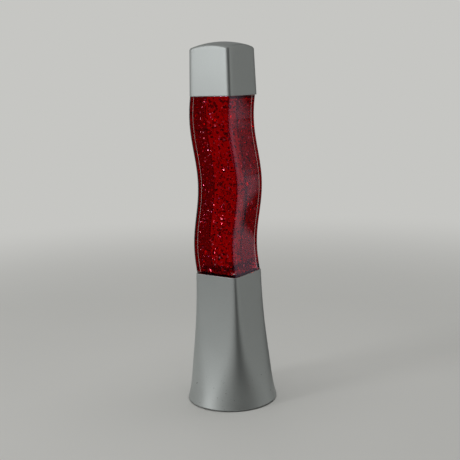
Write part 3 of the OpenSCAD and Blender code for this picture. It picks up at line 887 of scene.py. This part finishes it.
# The cap is drawn from under its crown, down the inside, round the lip and rim, and up again.
corner_high = lamp_high - dome_radius + math.sqrt(dome_radius**2 - 2 * top_half**2)
cap_side = corner_high - edge_round - cap_low - rim_edge
lip_half = rim_half - cap_taper * lip_thick / (lamp_high - cap_low) - cap_wall
cap_sections = dome_sections(top_half - cap_wall, dome_radius - cap_wall)
cap_sections += [
    (lip_half, rim_square, cap_low + lip_thick, 0, 0),
    (mouth_half, rim_square, cap_low + lip_thick, 0, 0),
    (mouth_half, rim_square, cap_low, 0, 0),
]
cap_sections += [
    (rim_half - rim_edge * (1 - s), rim_square, cap_low + rim_edge * (1 - c), 0, 0)
    for s, c in quarter_turn(4)
]
for k in range(side_rows + 1):
    climb = side_margin + (cap_side - 2 * side_margin) * k / side_rows
    half = rim_half + (top_half - rim_half) * climb / cap_side
    cap_sections.append((half, rim_square, cap_low + rim_edge + climb, 0, 0))
cap_sections += [
    (top_half - edge_round * (1 - c), rim_square, 0, dome_radius, edge_round * (1 - s))
    for s, c in quarter_turn(6)[:-1]
]
cap_sections += dome_sections(top_half - edge_round, dome_radius)[::-1]
cap, inner_crown, outer_crown = draw_through(cap_sections, on_cap)
close_end(cap, inner_crown, lamp_high - cap_wall)
close_end(cap, outer_crown, lamp_high)
put_in_place(cap, "painted_cap", [silver_paint], "cap", "top_cap")


# Studio. A plain pale floor that runs into a pale surround, one soft key light on the left, a weak
# light overhead, and a camera at the photo's viewing angle. The surround is even for the camera,
# but its brightness changes with the bearing for rays that are mirrored or come through glass.
view_turn = math.radians(34.74)
away = (-math.sin(view_turn), math.cos(view_turn), 0)
rightward = (math.cos(view_turn), math.sin(view_turn), 0)
pale = (0.565, 0.565, 0.545)
even_level = 0.3
surround_lean = 0.0217


def surround(place, stops, lean=0.0):
    """Brightness by the bearing of a place, which may lean over with height."""
    along, across = (
        place.node("VectorMath", {"operation": "DOT_PRODUCT"}, {0: place, 1: axis}, "Value")
        for axis in (away, rightward)
    )
    bearing = 0.5 + place.math("ARCTAN2", across, along) / (2 * math.pi)
    if lean:
        bearing = bearing + lean * place.node("SeparateXYZ", {}, {"Vector": place}, "Z")
    return place.node("ValToRGB", {"stops": stops}, {"Fac": bearing})


def bearings(*pairs):
    """Ramp stops by degrees: 0 lies beyond the lamp, 90 on the right and 180 behind the camera."""
    return [(0.5 + degrees / 360, shade) for degrees, shade in pairs]


# What mirrored rays meet at the level of the floor's edge, higher up, and on the floor nearby, and
# what rays that came through the glass meet.
mirrored_low = bearings(
    (-180, 0.04), (-140, 0.04), (-118, 0.03), (-100, 0.03), (-75, 0.45), (-50, 1.0), (35, 1.0),
    (45, 0.06), (67.95, 0.06), (68.1, 1.0), (85, 1.0), (105, 0.6), (122, 0.4), (140, 0.06),
    (180, 0.04),
)
mirrored_high = bearings(
    (-180, 0.2), (-168, 0.3), (-158, 0.85), (-60, 0.85), (-40, 0.5), (35, 0.5), (45, 0.1),
    (68.88, 0.1), (68.98, 1.25), (105, 0.9), (128, 0.12), (145, 0.08), (165, 0.1), (180, 0.2),
)
mirrored_near = bearings(
    (-180, 0.25), (-175, 0.4), (-164, 1.0), (-60, 1.0), (-40, 0.5), (35, 0.5), (45, 0.1),
    (67.95, 0.1), (68.1, 0.75), (105, 0.45), (128, 0.1), (145, 0.06), (165, 0.1), (180, 0.25),
)
seen_through = bearings(
    (-180, 1.0), (-130, 0.6), (-110, 0.5), (-60, 0.3), (-25, 0.4), (-14, 1.0), (14, 1.0),
    (25, 0.3), (90, 0.35), (120, 1.0), (180, 1.0),
)


def ray_kinds(place):
    """Whether a ray is the camera's own, a mirrored one or one that came through glass."""
    path = place.node("LightPath", {}, {}, "Is Camera Ray").socket.node
    return [Lead(path.outputs[f"Is {kind} Ray"]) for kind in ("Camera", "Glossy", "Transmission")]


world = bpy.data.worlds.new("studio")
bpy.context.scene.world = world
world.use_nodes = True
world.node_tree.nodes.clear()
place = Lead(world.node_tree.nodes.new("ShaderNodeTexCoord").outputs["Generated"])
camera_ray, glossy_ray, glass_ray = ray_kinds(place)
steep = place.node("SeparateXYZ", {}, {"Vector": place}, "Z").rise(-0.015, 0.06)
low_level = surround(place, mirrored_low, surround_lean)
mirror_level = low_level + steep * (surround(place, mirrored_high, surround_lean) - low_level)
glass_level = surround(place, seen_through)
level = even_level + glossy_ray * (mirror_level - even_level)
level = level + glass_ray * (glass_level - level)
level = level + camera_ray * (1 - level)
place.node(
    "OutputWorld",
    {},
    {"Surface": place.node("Background", {}, {"Color": (*pale, 1), "Strength": level})},
)

# The floor is matt round the lamp, where it takes the shadow, and further off it has the surround's
# brightness.
floor_mesh = bmesh.new()
bmesh.ops.create_circle(floor_mesh, cap_ends=True, segments=96, radius=8)
floor_skin = bpy.data.meshes.new("floor")
floor_mesh.to_mesh(floor_skin)
floor_mesh.free()
floor = set_out("floor", floor_skin)
pale_floor, place = new_finish("pale_floor")
camera_ray, glossy_ray, glass_ray = ray_kinds(place)
reach = place.node("VectorMath", {"operation": "LENGTH"}, {0: place}, "Value")
far_off = camera_ray * reach.rise(0.35, 1.3) + (1 - camera_ray) * reach.rise(0.07, 0.16)
mirror_middle = (-0.0138, 0.0091, 0)
beside = place.node("VectorMath", {"operation": "SUBTRACT"}, {0: place, 1: mirror_middle})
near_level = surround(beside, mirrored_near)
outer_level = surround(beside, mirrored_low)
# Painted light and shade: seen in reflections and through the glass, the floor glows from a few
# centimetres out, brighter and darker by bearing round the lamp.
level = glossy_ray * (near_level + reach.rise(0.4, 0.58) * (outer_level - near_level))
level = level + glass_ray * (surround(place, seen_through) - level)
level = level + camera_ray * (1 - level)
matt = place.node(
    "BsdfDiffuse",
    {},
    {"Color": place.cloud(5, 4).tint((0.74, 0.74, 0.715), (0.77, 0.77, 0.745))},
)
glow = place.node("Emission", {}, {"Color": (*pale, 1), "Strength": level})
seen = camera_ray.math("MAXIMUM", camera_ray, camera_ray.math("MAXIMUM", glossy_ray, glass_ray))
place.node(
    "OutputMaterial",
    {},
    {"Surface": place.node("MixShader", {}, {0: far_off * seen, 1: matt, 2: glow})},
)
floor_skin.materials.append(pale_floor)


def soft_light(name, size, watts, where, towards):
    """A square soft light at a place, turned towards another."""
    lamp = bpy.data.lights.new(name, "AREA")
    lamp.size, lamp.energy = size, watts
    placed = set_out(name, lamp)
    placed.location = where
    placed.rotation_euler = (Vector(towards) - Vector(where)).to_track_quat("-Z", "Y").to_euler()
    return placed


soft_light("key", 0.3, 2.7, (-0.59, -1.1, 0.53), (0, 0, 0.25))
soft_light("overhead", 1.2, 14.0, (0.0, 0.1, 1.9), (0, 0, 0)).visible_glossy = False

camera = set_out("camera", bpy.data.cameras.new("camera"))
camera.data.lens = 66.07
camera_spot = (0.5284, -0.7619, 0.3627)
camera_turn, camera_tilt, camera_roll = 34.57, 79.71, -1.76
camera.matrix_world = (
    Matrix.Translation(camera_spot)
    @ Matrix.Rotation(math.radians(camera_turn), 4, "Z")
    @ Matrix.Rotation(math.radians(camera_tilt), 4, "X")
    @ Matrix.Rotation(math.radians(camera_roll), 4, "Z")
)
bpy.context.scene.camera = camera
bpy.context.scene.view_settings.view_transform = "Standard"
